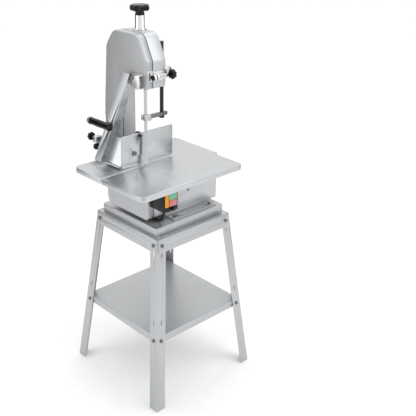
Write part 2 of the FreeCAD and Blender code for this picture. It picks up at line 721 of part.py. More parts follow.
def make_tension():
    """The upper axle's carriage, its slideway, the screw, sleeve, springs and hand knob."""
    center = "wheel_center_x"
    half = "carriage_width / 2"
    z = "upper_wheel_z"
    block = box("%s - %s" % (center, half), "%s + %s" % (center, half), "screw_y - 13", "screw_y + 13",
                "%s - carriage_height / 2" % z, "%s + carriage_height / 2" % z)
    screw_bore = rod("Z", "screw_radius + 0.3", "carriage_height + 2", center, "screw_y",
                     "%s - carriage_height / 2 - 1" % z)
    shoulder = rod("Y", 14, 8, center, "screw_y - 21", z)
    socket = rod("Y", "axle_radius", 16, center, "screw_y - 24", z)
    node("axle_carriage", cut(fuse(block, shoulder), screw_bore, socket))
    axle = rod("Y", "axle_radius", "screw_y - 8 - blade_plane + 14", center, "blade_plane - 14", z)
    node("upper_axle", fuse(axle, rod("Y", 15, 3, center, "blade_plane - 17", z)))
    guides = []
    for side in (-1, 1):
        inner = "%s + %d * (%s + 0.1)" % (center, side, half)
        outer = "%s + %d * (%s + 9)" % (center, side, half)
        low, high = (outer, inner) if side < 0 else (inner, outer)
        guides.append(box(low, high, "screw_y - 11", "case_back - case_wall - 0.1",
                          "%s - carriage_height / 2 - tension_travel - 6" % z,
                          "%s + carriage_height / 2 + 10" % z))
    group("carriage_guides", *guides)
    top = "head_top"
    foot = tube("Z", "sleeve_radius + 7", "screw_radius + 1.5", 4, center, "screw_y", top + " + 0.1")
    sleeve = tube("Z", "sleeve_radius", "sleeve_radius - 3", "sleeve_height - 5", center, "screw_y",
                  top + " + 4")
    cap = tube("Z", "sleeve_radius", "screw_radius + 0.1", 3, center, "screw_y",
               top + " + sleeve_height - 3")
    washers = []
    for i in range(10):
        cone = doc.addObject("Part::Cone", "cone")
        cone.Radius1 = 13
        cone.Radius2 = 9.5
        cone.Height = 3
        place(cone, center, "screw_y", "%s + 5 + %s" % (top, 3.9 * i))
        washers.append(cut(cone, rod("Z", 8, 5, center, "screw_y", "%s + 4 + %s" % (top, 3.9 * i))))
    group("tension_sleeve", fuse(foot, sleeve, cap), *washers)
    low_end = "%s - carriage_height / 2 + 4" % z
    node("tension_screw", rod("Z", "screw_radius", "head_top + sleeve_height + 18 - (%s)" % low_end,
                              center, "screw_y", low_end))
    body = lobed_knob("tension_knob", "tension_knob_radius", "tension_knob_height",
                      "knob_hub_height", "sleeve_radius", "screw_radius", 6)
    place(body, center, "screw_y", "%s + sleeve_height + 0.4" % top)
    node("tension_knob", body)


def lobed_knob(name, radius, height, hub_height, hub_radius, bore, lobes, depth=0.2):
    """A moulded hand knob: a round hub below a head with finger hollows round its edge."""
    body = doc.addObject("PartDesign::Body", name)
    top = "%s + %s" % (hub_height, height)
    profile = [(bore, "0"), (hub_radius, "0"), (hub_radius + " * 0.9", hub_height),
               (radius + " - 3", hub_height), (radius, hub_height + " + 3"),
               (radius, top + " - 5"), (radius + " - 5", top), ("0", top),
               ("0", top + " - 5"), (bore, top + " - 5")]
    sketch = sketch_on(body, "XZ_Plane", profile)
    turn = body.newObject("PartDesign::Revolution", "turn")
    turn.Profile = sketch
    turn.ReferenceAxis = (sketch, ["V_Axis"])
    turn.Angle = 360
    doc.recompute()
    bite = size(radius) * 0.34
    reach = size(radius) * (1 + 0.34 - depth)
    hollows = [(bite, reach * math.cos(2 * math.pi * i / lobes), reach * math.sin(2 * math.pi * i / lobes))
               for i in range(lobes)]
    feature(body, "Pocket", circles_on(body, "XY_Plane", hollows), top + " + 1", True)
    return body


def hand_knob(name, radius, x, y, z, axis, height=14, bore="4", flip=False):
    """A small star knob at a point, its head towards the axis's positive end."""
    body = lobed_knob(name or "knob", radius, str(height), "5", radius + " * 0.5", bore, 7, 0.14)
    place(body, x, y, z, AXES[axis])
    if flip:
        around = {"X": V(0, 1, 0), "Y": V(0, 0, 1), "Z": V(1, 0, 0)}[axis]
        turn = FreeCAD.Rotation(around, 180)
        body.Placement = FreeCAD.Placement(body.Placement.Base, turn.multiply(AXES[axis]))
    return node(name, body) if name else body


# ---- table ----------------------------------------------------------------------------------

def make_table():
    """The fixed table: a folded sheet, open for the column and slotted for the blade."""
    body = sheet_tray("table_sheet", "table_left", "table_left + table_width", "table_front",
                      "table_front + table_length", "table_top", "table_lip", "table_sheet",
                      "table_corner")
    blade = "wheel_center_x + wheel_radius + wheel_gap"
    slot = box(blade + " - blade_slot / 2", blade + " + blade_slot / 2", "table_front - 5",
               "blade_plane + 14", "table_top - 30", "table_top + 5")
    notch = box("table_left - 5", "column_right + notch_gap", "door_front - notch_gap",
                "case_back + notch_gap", "table_top - 30", "table_top + 5")
    node("table", cut(body, slot, notch))
    low = "base_top + 0.2"
    high = "table_top - table_sheet - 0.2"
    bars = [box(98, 118, "table_front + 16", "table_front + table_length - 14", low, high),
            box("table_left + 8", "table_left + 28", "case_back + 9.5",
                "table_front + table_length - 14", low, high),
            box("table_left + 8", "table_left + 28", "table_front + 16", "door_front - 13", low, high),
            box("table_left + 8", 99, "door_front - 31.5", "door_front - 12.5", low, high),
            box("table_left + 8", 99, 60, 78, low, high)]
    node("table_frame", fuse(*bars))


# ---- blade guide, latch, fence and pusher ---------------------------------------------------

def make_guide():
    """The post that sets the upper guide's height, its arm, the guide block and the clamp."""
    x = "post_x"
    y = "post_y"
    low = "post_bottom"
    blade = "wheel_center_x + wheel_radius + wheel_gap"
    post = rod("Z", "post_radius", "post_length", x, y, low + " - 8")
    arm = box("post_x - guide_bar_width / 2", "post_x + guide_bar_width / 2", "blade_plane + 12",
              "post_y + 22", low, low + " + guide_bar_height")
    node("guide_arm", cut(arm, rod("Z", "post_radius + 0.05", 60, x, y, low + " - 9")))
    group("guide_post", post, tube("Z", 10, "post_radius + 0.05", 7.5, x, y, low + " - 7.8"))
    block = box("post_x - 5", "post_x + 25", "blade_plane - 12", "blade_plane + 11.9", low,
                low + " + 20")
    slot = box(blade + " - 0.6", blade + " + 1.2", "blade_plane - 15", "blade_plane + 9", low + " - 1",
               low + " + 21")
    seat = box(blade + " - 3.2", blade + " + 3.8", "blade_plane + 8.5", "blade_plane + 10.5",
               low + " - 1", low + " + 21")
    group("guide_block", cut(block, slot, seat),
          box(blade + " - 3", blade + " + 3.6", "blade_plane + 8.6", "blade_plane + 10.4", low,
              low + " + 20"))
    clamp_low = "throat_top + 26"
    block = box("post_x - 15", "post_x + 25", "case_back + 0.1", "post_y + 18", clamp_low,
                "throat_top + 66")
    bore = rod("Z", "post_radius + 0.05", 60, x, y, clamp_low + " - 5")
    stud_z = "throat_top + 46"
    stud_hole = rod("Y", 4.05, 30, x, y, stud_z)
    node("post_clamp", cut(block, bore, stud_hole))
    knob = hand_knob(None, "15", x, "post_y + 20", stud_z, "Y")
    node("post_clamp_knob", fuse(knob, rod("Y", 4, 20, x, "post_y + post_radius + 0.3", stud_z)))


LATCH_X = "body_right + 14"
LATCH_Z = "throat_top + 44"


def make_latch():
    """The upper door's catch: a lug on the door and the turning rod that enters it."""
    x = LATCH_X
    z = LATCH_Z
    lug = tube("Y", 12, 5.5, 9, x, "door_front + door_depth - 8.5", z)
    plate = box("body_right + 0.2", "body_right + 3", "door_front + 4", "door_front + door_depth",
                z + " - 15", z + " + 22")
    web = cut(box("body_right + 0.2", x, "door_front + door_depth - 8.5",
                  "door_front + door_depth + 0.5", z + " - 7", z + " + 7"),
              rod("Y", 5.5, 30, x, "door_front + door_depth - 20", z))
    screws = [rod("X", 3.2, 2, "body_right + 3", "door_front + 11", z + at) for at in (" + 15", " - 8")]
    node("door_latch_plate", fuse(plate, web, lug, *screws))
    front = CASE_FRONT
    collar = tube("Y", 12, 5.05, 9, x, front + " + 3", z)
    cone = doc.addObject("Part::Cone", "taper")
    cone.Radius1 = 11
    cone.Radius2 = 8
    cone.Height = 34
    place(cone, x, front + " + 12", z, AXES["Y"])
    sleeve = cut(cone, rod("Y", 5.05, 36, x, front + " + 11", z))
    foot = box("body_right + 0.2", "body_right + 3", front + " + 1", front + " + 44", z + " - 16",
               z + " + 16")
    rib = cut(box("body_right + 0.2", x, front + " + 3", front + " + 40", z + " - 5", z + " + 5"),
              rod("Y", 5.05, 60, x, front, z))
    node("latch_bracket", fuse(foot, rib, collar, sleeve))
    knob = hand_knob(None, "18", x, front + " + 66", z, "Y", 16, "5")
    node("latch_knob", fuse(knob, rod("Y", 5, 78, x, front + " - 7.5", z)))


def make_fence():
    """The portion fence: an upright plate that slides across the table on a rod."""
    low = "table_top + 3"
    body = doc.addObject("PartDesign::Body", "fence_plate")
    outline = [("fence_front", low), ("fence_back", low), ("fence_back", "fence_top"),
               ("fence_front", "fence_top")]
    pad = feature(body, "Pad", sketch_on(body, "YZ_Plane", outline), "fence_thick")
    round_edges(body, pad, 8, lambda e: e.BoundBox.YLength < 1e-6 and e.BoundBox.ZLength < 1e-6)
    place(body, "fence_x", "0", "0")
    y = "fence_rod_y"
    z = "fence_rod_z"
    holes = [rod("X", "fence_rod_radius + 0.05", 12, "fence_x - 4", y, z),
             rod("X", 3.05, 12, "fence_x - 4", "fence_rod_y + 25", "fence_top - 11")]
    node("fence_plate", cut(body, *holes))
    bar = rod("X", "fence_rod_radius", "fence_x + fence_thick - fence_rod_end", "fence_rod_end", y, z)
    node("fence_rod", fuse(bar, rod("X", 8, 4, "fence_x + fence_thick + 0.05", y, z),
                           rod("X", 4, 1, "fence_x + fence_thick - 0.5", y, z),
                           rod("X", 9, 5, "fence_x - 5.05", y, z)))
    hand_knob("fence_rod_knob", "17", "fence_rod_end - 0.05", y, z, "X", 14, "3", True)
    grip = rod("X", 14, 11, "fence_x - 11.1", "fence_rod_y + 25", "fence_top - 11")
    node("fence_grip", fuse(grip, rod("X", 3, 15, "fence_x - 11", "fence_rod_y + 25", "fence_top - 11"),
                            rod("X", 6, 3, "fence_x + fence_thick + 0.05", "fence_rod_y + 25",
                                "fence_top - 11")))
    left = "body_left"
    foot = box("body_left - 3", "body_left - 0.2", "door_front + 3", "door_front + 26",
               "panel_top - 40", "panel_top - 1")
    arm = box("body_left - 44", "body_left - 0.2", "door_front - 6", "door_front + 3",
              "panel_top - 28", "panel_top - 1")
    lug = box("body_left - 44", "body_left - 22", "fence_rod_y - 13", "door_front",
              "panel_top - 26", "panel_top - 1")
    stud_x = "body_left - 33"
    node("fence_bracket", cut(fuse(foot, arm, lug, box("body_left - 3", "body_left - 0.2",
                                                       "door_front - 6", "door_front + 26",
                                                       "panel_top - 28", "panel_top - 1")),
                              rod("X", "fence_rod_radius + 0.05", 60, "body_left - 60", y, z),
                              rod("Z", 4.05, 30, stud_x, y, "panel_top - 40")))
    knob = hand_knob(None, "16", stud_x, y, "panel_top - 29", "Z", 20, "4", True)
    node("fence_clamp_knob", fuse(knob, rod("Z", 4, 20, stud_x, y, "fence_rod_z - 25.4")))


def tilted(label, shape):
    """A piece of the pusher, drawn upright from its pivot and then leant towards the operator."""
    obj = doc.addObject("Part::Feature", "leaning")
    obj.Shape = shape
    pivot = V(0, size("pusher_pivot_y"), size("pusher_pivot_z"))
    obj.Placement = FreeCAD.Placement(STEP + pivot, FreeCAD.Rotation(V(1, 0, 0), -size("pusher_tilt")))
    return node(label, obj)


def plate(corners, y0, y1):
    """A flat piece between two depths from (x, z) corners."""
    return prism(Part.makePolygon([V(x, y0, z) for x, z in corners + corners[:1]]), y1 - y0)


def make_pusher():
    """The hand-held meat pusher that hangs from the upper door."""
    top_x = size("pusher_top_x")
    foot_x = size("pusher_foot_x")
    long = size("pusher_length")
    sheet_ = size("pusher_sheet")
    wide = size("pusher_flange")
    front = -6
    rear = front + size("pusher_web")
    lean = (top_x - foot_x) / long
    strip = plate([(top_x - wide + 12 * lean, 12), (top_x + 12 * lean, 12), (foot_x, -long),
                   (foot_x - wide, -long)], front - sheet_, front)

    def at(depth, z):
        return V(top_x + lean * z, depth, z)
    side = [at(front - sheet_, 12), at(11, 12), at(12, -10), at(rear, -120), at(rear, -long),
            at(front - sheet_, -long)]
    web = Part.Face(Part.makePolygon(side + side[:1])).extrude(V(-sheet_, 0, 0))
    high = size("pusher_plate_height")
    right = size("pusher_plate_right")
    push = plate([(foot_x - 2, -long), (right, -long), (right, -long + high - 22),
                  (right - 8, -long + high - 6), (right - 24, -long + high),
                  (foot_x + lean * high - 2, -long + high)], rear, rear + sheet_)
    foot = block_at(foot_x - 2, right, rear - 14, rear, -long, -long + sheet_)
    pivot_hole = Part.makeCylinder(4.05, 30, V(top_x - 12, 0, 0), V(1, 0, 0))
    grip_z = -189
    stud_x = top_x + lean * grip_z - 14
    stud_hole = Part.makeCylinder(3.05, 20, V(stud_x, front - 12, grip_z), V(0, 1, 0))
    arm = strip.fuse([web, push, foot]).cut([pivot_hole, stud_hole]).removeSplitter()
    tilted("pusher_arm", arm)
    gap = size("pusher_bracket_gap")
    bolt_ = Part.makeCylinder(4, gap + 24, V(top_x - 8, 0, 0), V(1, 0, 0))
    head = Part.makeCylinder(5.8, 5, V(top_x - sheet_ - 5.3 - 5.8 * lean, 0, 0), V(1, 0, 0))
    spacer = Part.makeCylinder(9, gap - 0.8 - 9 * lean, V(top_x + 0.4 + 9 * lean, 0, 0), V(1, 0, 0))
    nut = Part.makeCylinder(5.6, 5, V(top_x + gap + 6.4, 0, 0), V(1, 0, 0))
    pivot_bolt = bolt_.fuse([head, spacer, nut])
    radius = size("grip_radius")
    center = front - sheet_ - radius - 1
    bar = Part.makeCylinder(radius, size("grip_length"), V(stud_x + 24 - size("grip_length"), center, grip_z),
                            V(1, 0, 0))
    bar = bar.makeFillet(3, [e for e in bar.Edges if len(e.Vertexes) == 1])
    stud_hole = Part.makeCylinder(3.05, 40, V(stud_x, center - 4, grip_z), V(0, 1, 0))
    tilted("pusher_grip", bar.cut(stud_hole))
    stud = Part.makeCylinder(3, front + 5 - center + 3.5, V(stud_x, center - 3.5, grip_z), V(0, 1, 0))
    nut = Part.makeCylinder(6, 4, V(stud_x, front + 0.1, grip_z), V(0, 1, 0))
    tilted("pusher_bolts", Part.makeCompound([pivot_bolt, stud.fuse(nut)]))
    y = "pusher_pivot_y"
    z = "pusher_pivot_z"
    left = "pusher_top_x + pusher_bracket_gap"
    right = left + " + 39"
    hood = box(left, right, y + " - 9", "door_front - 0.2", z + " - 32", z + " + 18")
    hollow = box(left + " + 6", right + " + 1", y + " - 6", "door_front - 2.7", z + " - 29", z + " + 15")
    hood = cut(hood, hollow, rod("X", 4.05, 60, "pusher_top_x", y, z))
    screw = fuse(rod("Y", 4, 5, left + " + 10", y + " - 11", z + " + 6"),
                 rod("Y", 5, 2.4, left + " + 10", y + " - 11.5", z + " + 6"))
    node("pusher_bracket", fuse(hood, screw))


# ---- switch ---------------------------------------------------------------------------------

def make_switch():
    """The push-button switch on the casing's right side and its cable."""
    x = "body_right + switch_depth"
    y = "switch_front"
    z = "switch_bottom"
    wide = "switch_front + switch_width"
    case = box("body_right + 0.2", x, y, wide, z, z + " + switch_height")
    hollow = box("body_right + 3", x + " - 3", y + " + 3", wide + " - 3", z + " + 3",
                 z + " + switch_height - 3")
    window = box(x + " - 5", x + " + 1", "switch_front + 20.2", "switch_front + 54.8", z + " + 23.2",
                 z + " + 72.8")
    gland_hole = rod("Z", 8.05, 8, "body_right + 40", "switch_front + 32", z + " - 2")
    frame = box(x + " + 0.1", x + " + 4", "switch_front + 3", "switch_front + 59", z + " + 21",
                z + " + 75")
    opening = box(x, x + " + 5", "switch_front + 20", "switch_front + 55", z + " + 23", z + " + 73")
    node("switch_frame", cut(frame, opening))
    for name, low, high, out in (("green_button", 48.3, 72.6, 7), ("red_button", 23.4, 47.7, 9)):
        node(name, box(x + " - 6", "%s + %s" % (x, out), "switch_front + 20.5", "switch_front + 54.5",
                       "%s + %s" % (z, low), "%s + %s" % (z, high)))
    group("switch_box", cut(case, hollow, window, gland_hole),
          rod("X", 9, 8, x + " + 0.1", "switch_front + 42", z + " + 10.5"))
    box_gland = fuse(tube("Z", 11, "cable_radius + 0.05", 9, "body_right + 40", "switch_front + 32", z + " - 9.1"),
                     tube("Z", 8, "cable_radius + 0.05", 9, "body_right + 40", "switch_front + 32",
                          z + " - 3"))
    bottom = size("body_bottom")
    gland_x = size("body_right + 40")
    route_y = size("switch_front + 32")
    points = [V(gland_x, route_y, size(z) + 8), V(gland_x, route_y, size(z) - 28),
              V(gland_x - 17, route_y, bottom - 5.5), V(gland_x - 66, route_y, bottom - 5.5),
              V(gland_x - 66, route_y, bottom + 20)]
    shaped("switch_cable", cord(points, size("cable_radius")))
    grommet = fuse(tube("Z", 11, 7.2, 2, "body_right - 26", "switch_front + 32",
                        "body_bottom + case_wall + 0.1"),
                   tube("Z", 8.8, 7.2, 9, "body_right - 26", "switch_front + 32",
                        "body_bottom - 0.4"),
                   tube("Z", 8.8, "cable_radius + 0.05", 2.4, "body_right - 26",
                        "switch_front + 32", "body_bottom + 6.2"))
    mains_gland = fuse(tube("Y", 8, 5, 22, "body_left + 40", "housing_back - 8", "body_bottom + 40"),
                       tube("Y", 12, 5, 8, "body_left + 40", "housing_back + 0.1",
                            "body_bottom + 40"))
    group("cable_glands", box_gland, grommet, mains_gland)


def cord(points, radius):
    """A round cord along straight runs joined by tangent arcs."""
    edges = []
    start = points[0]
    for i in range(1, len(points) - 1):
        back = points[i - 1] - points[i]
        ahead = points[i + 1] - points[i]
        shorter = min(back.Length, ahead.Length)
        half_turn = (math.pi - back.getAngle(ahead)) / 2
        reach = 0.45 * shorter
        bend = reach / math.tan(half_turn)
        back.normalize()
        ahead.normalize()
        one = points[i] + back * reach
        two = points[i] + ahead * reach
        middle = (back + ahead).normalize()
        center = points[i] + middle * math.hypot(bend, reach)
        edges.append(Part.makeLine(start, one))
        edges.append(Part.Arc(one, center - middle * bend, two).toShape())
        start = two
    edges.append(Part.makeLine(start, points[-1]))
    path = Part.Wire(edges)
    ring = Part.Wire([Part.Circle(points[0], (points[1] - points[0]).normalize(), radius).toShape()])
    return path.makePipeShell([ring], True, False)


# ---- everything -----------------------------------------------------------------------------

def check_and_export():
    """Stops on any failed object, then writes each sub-part as a file of its own name."""
    for obj in doc.Objects:
        state = [word for word in obj.State if word in ("Invalid", "Error")]
        if state:
            raise RuntimeError("%s (%s) is %s" % (obj.Name, obj.Label, state))
    os.makedirs("parts", exist_ok=True)
    for label, obj in nodes.items():
        shape = obj.Shape
        if shape.isNull() or not shape.isValid() or not shape.Solids:
            raise RuntimeError("%s has no valid solid" % label)
        shape.exportStep("parts/%s.step" % label)


make_stand()
make_casing()
make_doors()
make_hinges()
make_base()
make_blade()
make_drive()
make_tension()
make_table()
make_guide()
make_latch()
make_fence()
make_pusher()
make_switch()
doc.recompute()
check_and_export()
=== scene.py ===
import json
import math

import bpy
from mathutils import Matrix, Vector


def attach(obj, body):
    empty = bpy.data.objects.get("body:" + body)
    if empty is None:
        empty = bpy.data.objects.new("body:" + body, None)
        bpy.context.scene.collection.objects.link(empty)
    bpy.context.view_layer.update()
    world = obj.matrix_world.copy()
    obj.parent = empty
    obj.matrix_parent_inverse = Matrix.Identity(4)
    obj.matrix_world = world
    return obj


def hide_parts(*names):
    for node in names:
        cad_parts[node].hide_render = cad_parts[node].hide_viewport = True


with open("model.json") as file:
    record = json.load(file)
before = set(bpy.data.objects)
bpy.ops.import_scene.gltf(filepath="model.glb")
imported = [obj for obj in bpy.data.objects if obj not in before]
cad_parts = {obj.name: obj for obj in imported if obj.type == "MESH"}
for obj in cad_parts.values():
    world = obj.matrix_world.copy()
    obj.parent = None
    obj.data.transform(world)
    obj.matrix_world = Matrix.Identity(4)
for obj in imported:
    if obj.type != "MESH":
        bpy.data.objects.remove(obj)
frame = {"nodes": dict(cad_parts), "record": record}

bl_info = {
    "name": "Bone saw looks",
    "version": (1, 0, 0),
    "blender": (4, 5, 0),
    "location": "3D View > Sidebar > Bone saw",
    "description": "Finishes the pieces of a floor-standing bone saw",
    "category": "Object",
}

MM = 0.001
STAND_TO_FRAME = (-21.5, 48)        # how far the stand's centre lies from the frame's origin, mm
SMOOTH_ANGLE = math.radians(32)
GRIP_LENGTH = 128
SLOTS = {entry["node"]: entry["material_slot"] for entry in frame["record"]["subparts"]}
BODY_OF = {node: body for body, nodes in frame["record"]["behaviour"]["bodies"].items()
           for node in nodes}


# ---- mesh helpers ---------------------------------------------------------------------------

def pick(*objects):
    """Selects only these objects, with the first one active."""
    bpy.ops.object.select_all(action="DESELECT")
    for obj in objects:
        obj.select_set(True)
    bpy.context.view_layer.objects.active = objects[0]


def apply_modifier(obj, kind, **settings):
    pick(obj)
    modifier = obj.modifiers.new(kind.lower(), kind)
    for key, value in settings.items():
        setattr(modifier, key, value)
    bpy.ops.object.modifier_apply(modifier=modifier.name)


def copy_of(node, name):
    """A merged copy of a frame node, its flat faces made whole again."""
    source = frame["nodes"][node]
    obj = source.copy()
    obj.data = source.data.copy()
    obj.name = name
    bpy.context.collection.objects.link(obj)
    pick(obj)
    bpy.ops.object.mode_set(mode="EDIT")
    bpy.ops.mesh.select_all(action="SELECT")
    bpy.ops.mesh.remove_doubles(threshold=1e-6)
    bpy.ops.mesh.dissolve_limited(angle_limit=math.radians(0.3))
    bpy.ops.object.mode_set(mode="OBJECT")
    return obj


def ease_edges(obj, width, segments=2, angle=32):
    """Rounds every sharp edge by a width in millimetres."""
    apply_modifier(obj, "BEVEL", width=width * MM, segments=segments, limit_method="ANGLE",
                   angle_limit=math.radians(angle), use_clamp_overlap=True, miter_outer="MITER_ARC",
                   harden_normals=False)


def finish_piece(obj, node, material):
    """Gives a piece its smooth shading and its finish, hangs it on its node's body and hides the node.
    """
    pick(obj)
    bpy.ops.object.transform_apply(location=True, rotation=True, scale=True)
    bpy.ops.object.shade_smooth_by_angle(angle=SMOOTH_ANGLE)
    obj.data.materials.clear()
    obj.data.materials.append(material)
    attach(obj, BODY_OF[node])
    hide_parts(node)
    return obj


def eased(node, material, width=0.8, segments=2, angle=32):
    """A frame node with its edges rounded the way a press, a mould or a file leaves them."""
    obj = copy_of(node, node + "_finished")
    ease_edges(obj, width, segments, angle)
    return finish_piece(obj, node, material)


def at(x, y, z):
    """A point given in millimetres from the stand's centre, in the frame's metres."""
    return Vector((x + STAND_TO_FRAME[0], y + STAND_TO_FRAME[1], z)) * MM


def turned(name, rings, sides=64):
    """A turned or moulded round piece along Z: each ring is (radius, height) in millimetres."""
    bpy.ops.object.select_all(action="DESELECT")
    first, start = rings[0]
    bpy.ops.mesh.primitive_circle_add(vertices=sides, radius=first * MM, fill_type="NGON",
                                      location=(0, 0, start * MM))
    obj = bpy.context.object
    obj.name = name
    bpy.ops.object.transform_apply(location=True)
    bpy.ops.object.mode_set(mode="EDIT")
    bpy.ops.mesh.select_all(action="SELECT")
    for (radius, height), (before, low) in zip(rings[1:], rings):
        bpy.ops.mesh.extrude_region_move(
            TRANSFORM_OT_translate={"value": (0, 0, (height - low) * MM)})
        scale = radius / before
        bpy.ops.transform.resize(value=(scale, scale, 1),
                                 center_override=(0, 0, height * MM))
    bpy.ops.mesh.select_all(action="SELECT")
    bpy.ops.mesh.normals_make_consistent(inside=False)
    bpy.ops.object.mode_set(mode="OBJECT")
    return obj


def scallop(obj, lobes, depth, low, high, inner):
    """Presses finger hollows into the rim between two heights, as a star knob has them."""
    for vertex in obj.data.vertices:
        x, y, z = vertex.co
        reach = math.hypot(x, y)
        if low * MM < z < high * MM and reach > inner * MM:
            wave = 0.5 - 0.5 * math.cos(lobes * math.atan2(y, x))
            share = 1 - depth * (wave ** 1.6)
            vertex.co = (x * share, y * share, z)


def stand_at(obj, axis, point):
    """Turns a piece made along Z to an axis and moves it to its point."""
    obj.rotation_euler = Vector(axis).to_track_quat("Z", "Y").to_euler()
    obj.location = point
    pick(obj)
    bpy.ops.object.transform_apply(location=True, rotation=True, scale=True)


# ---- materials ------------------------------------------------------------------------------

def linear(hex_colour):
    """An sRGB hex colour as linear light, with full alpha."""
    channels = [int(hex_colour[i:i + 2], 16) / 255 for i in (1, 3, 5)]
    return tuple(c / 12.92 if c <= 0.04045 else ((c + 0.055) / 1.055) ** 2.4
                 for c in channels) + (1.0,)


def add(tree, kind, inputs=(), **settings):
    """Adds one node; an input is a value or the socket that feeds it."""
    node = tree.nodes.new("ShaderNode" + kind)
    for key, value in settings.items():
        setattr(node, key, value)
    for key, value in dict(inputs).items():
        if isinstance(value, bpy.types.NodeSocket):
            tree.links.new(value, node.inputs[key])
        else:
            node.inputs[key].default_value = value
    return node


def blank(name, hex_colour, metallic, roughness):
    """A new material's tree, its shader, and object coordinates in millimetres."""
    material = bpy.data.materials.new(name)
    material.use_nodes = True
    tree = material.node_tree
    shader = tree.nodes["Principled BSDF"]
    shader.inputs["Base Color"].default_value = linear(hex_colour)
    shader.inputs["Metallic"].default_value = metallic
    shader.inputs["Roughness"].default_value = roughness
    place = add(tree, "TexCoord")
    in_mm = add(tree, "Mapping", {"Vector": place.outputs["Object"], "Scale": (1000, 1000, 1000)})
    return material, tree, shader, in_mm.outputs["Vector"]


def grain(tree, coordinates, size, detail=3.0, stretch=(1, 1, 1)):
    """Noise whose features are about one size in millimetres, drawn out along an axis."""
    scaled = add(tree, "Mapping", {"Vector": coordinates,
                                   "Scale": tuple(s / size for s in stretch)})
    return add(tree, "TexNoise", {"Vector": scaled.outputs["Vector"], "Scale": 1.0,
                                  "Detail": detail, "Roughness": 0.55}).outputs["Fac"]


def shade_between(tree, shader, factor, dark, light):
    """Colour that wanders between two close tones."""
    ramp = add(tree, "ValToRGB", {"Fac": factor})
    ramp.color_ramp.elements[0].position = 0.3
    ramp.color_ramp.elements[0].color = linear(dark)
    ramp.color_ramp.elements[1].position = 0.7
    ramp.color_ramp.elements[1].color = linear(light)
    tree.links.new(ramp.outputs["Color"], shader.inputs["Base Color"])


def vary_roughness(tree, shader, factor, low, high):
    """Roughness that wanders between two values."""
    spread = add(tree, "MapRange", {"Value": factor, "From Min": 0.3, "From Max": 0.7,
                                    "To Min": low, "To Max": high})
    tree.links.new(spread.outputs["Result"], shader.inputs["Roughness"])


def emboss(tree, shader, height, depth):
    """Surface relief of a depth in millimetres."""
    bump = add(tree, "Bump", {"Height": height, "Strength": 1.0, "Distance": depth * MM})
    tree.links.new(bump.outputs["Normal"], shader.inputs["Normal"])


def sprayed_paint(name, dark, light, roughness, peel=1.6, depth=0.012):
    """Stoved enamel sprayed on sheet metal: an orange-peel skin with soft, wide highlights."""
    material, tree, shader, place = blank(name, light, 0.0, roughness)
    shade_between(tree, shader, grain(tree, place, 90), dark, light)
    vary_roughness(tree, shader, grain(tree, place, 30), roughness - 0.05, roughness + 0.07)
    emboss(tree, shader, grain(tree, place, peel), depth)
    return material


def brushed_metal(name, dark, light, roughness, stretch, width=0.7, depth=0.006):
    """Stainless steel rubbed one way: long hair lines that spread the highlight across them."""
    material, tree, shader, place = blank(name, light, 1.0, roughness)
    lines = grain(tree, place, width, 2.0, stretch)
    shade_between(tree, shader, lines, dark, light)
    vary_roughness(tree, shader, lines, roughness - 0.06, roughness + 0.1)
    emboss(tree, shader, lines, depth)
    return material


def moulded_plastic(name, dark, light, roughness, size=0.9, depth=0.004, specular=0.35):
    """Phenolic or ABS from a polished mould: deep colour with a fine, faint texture."""
    material, tree, shader, place = blank(name, light, 0.0, roughness)
    shader.inputs["Specular IOR Level"].default_value = specular
    shade_between(tree, shader, grain(tree, place, 12), dark, light)
    vary_roughness(tree, shader, grain(tree, place, 8), roughness - 0.04, roughness + 0.08)
    emboss(tree, shader, grain(tree, place, size), depth)
    return material


def cast_metal(name, dark, light, roughness, size=1.8, depth=0.05, metallic=1.0):
    """Sand-cast or tumbled metal: an even, slightly pebbled skin."""
    material, tree, shader, place = blank(name, light, metallic, roughness)
    shade_between(tree, shader, grain(tree, place, size * 1.5), dark, light)
    vary_roughness(tree, shader, grain(tree, place, size * 2), roughness - 0.03, roughness + 0.05)
    emboss(tree, shader, grain(tree, place, size), depth)
    return material


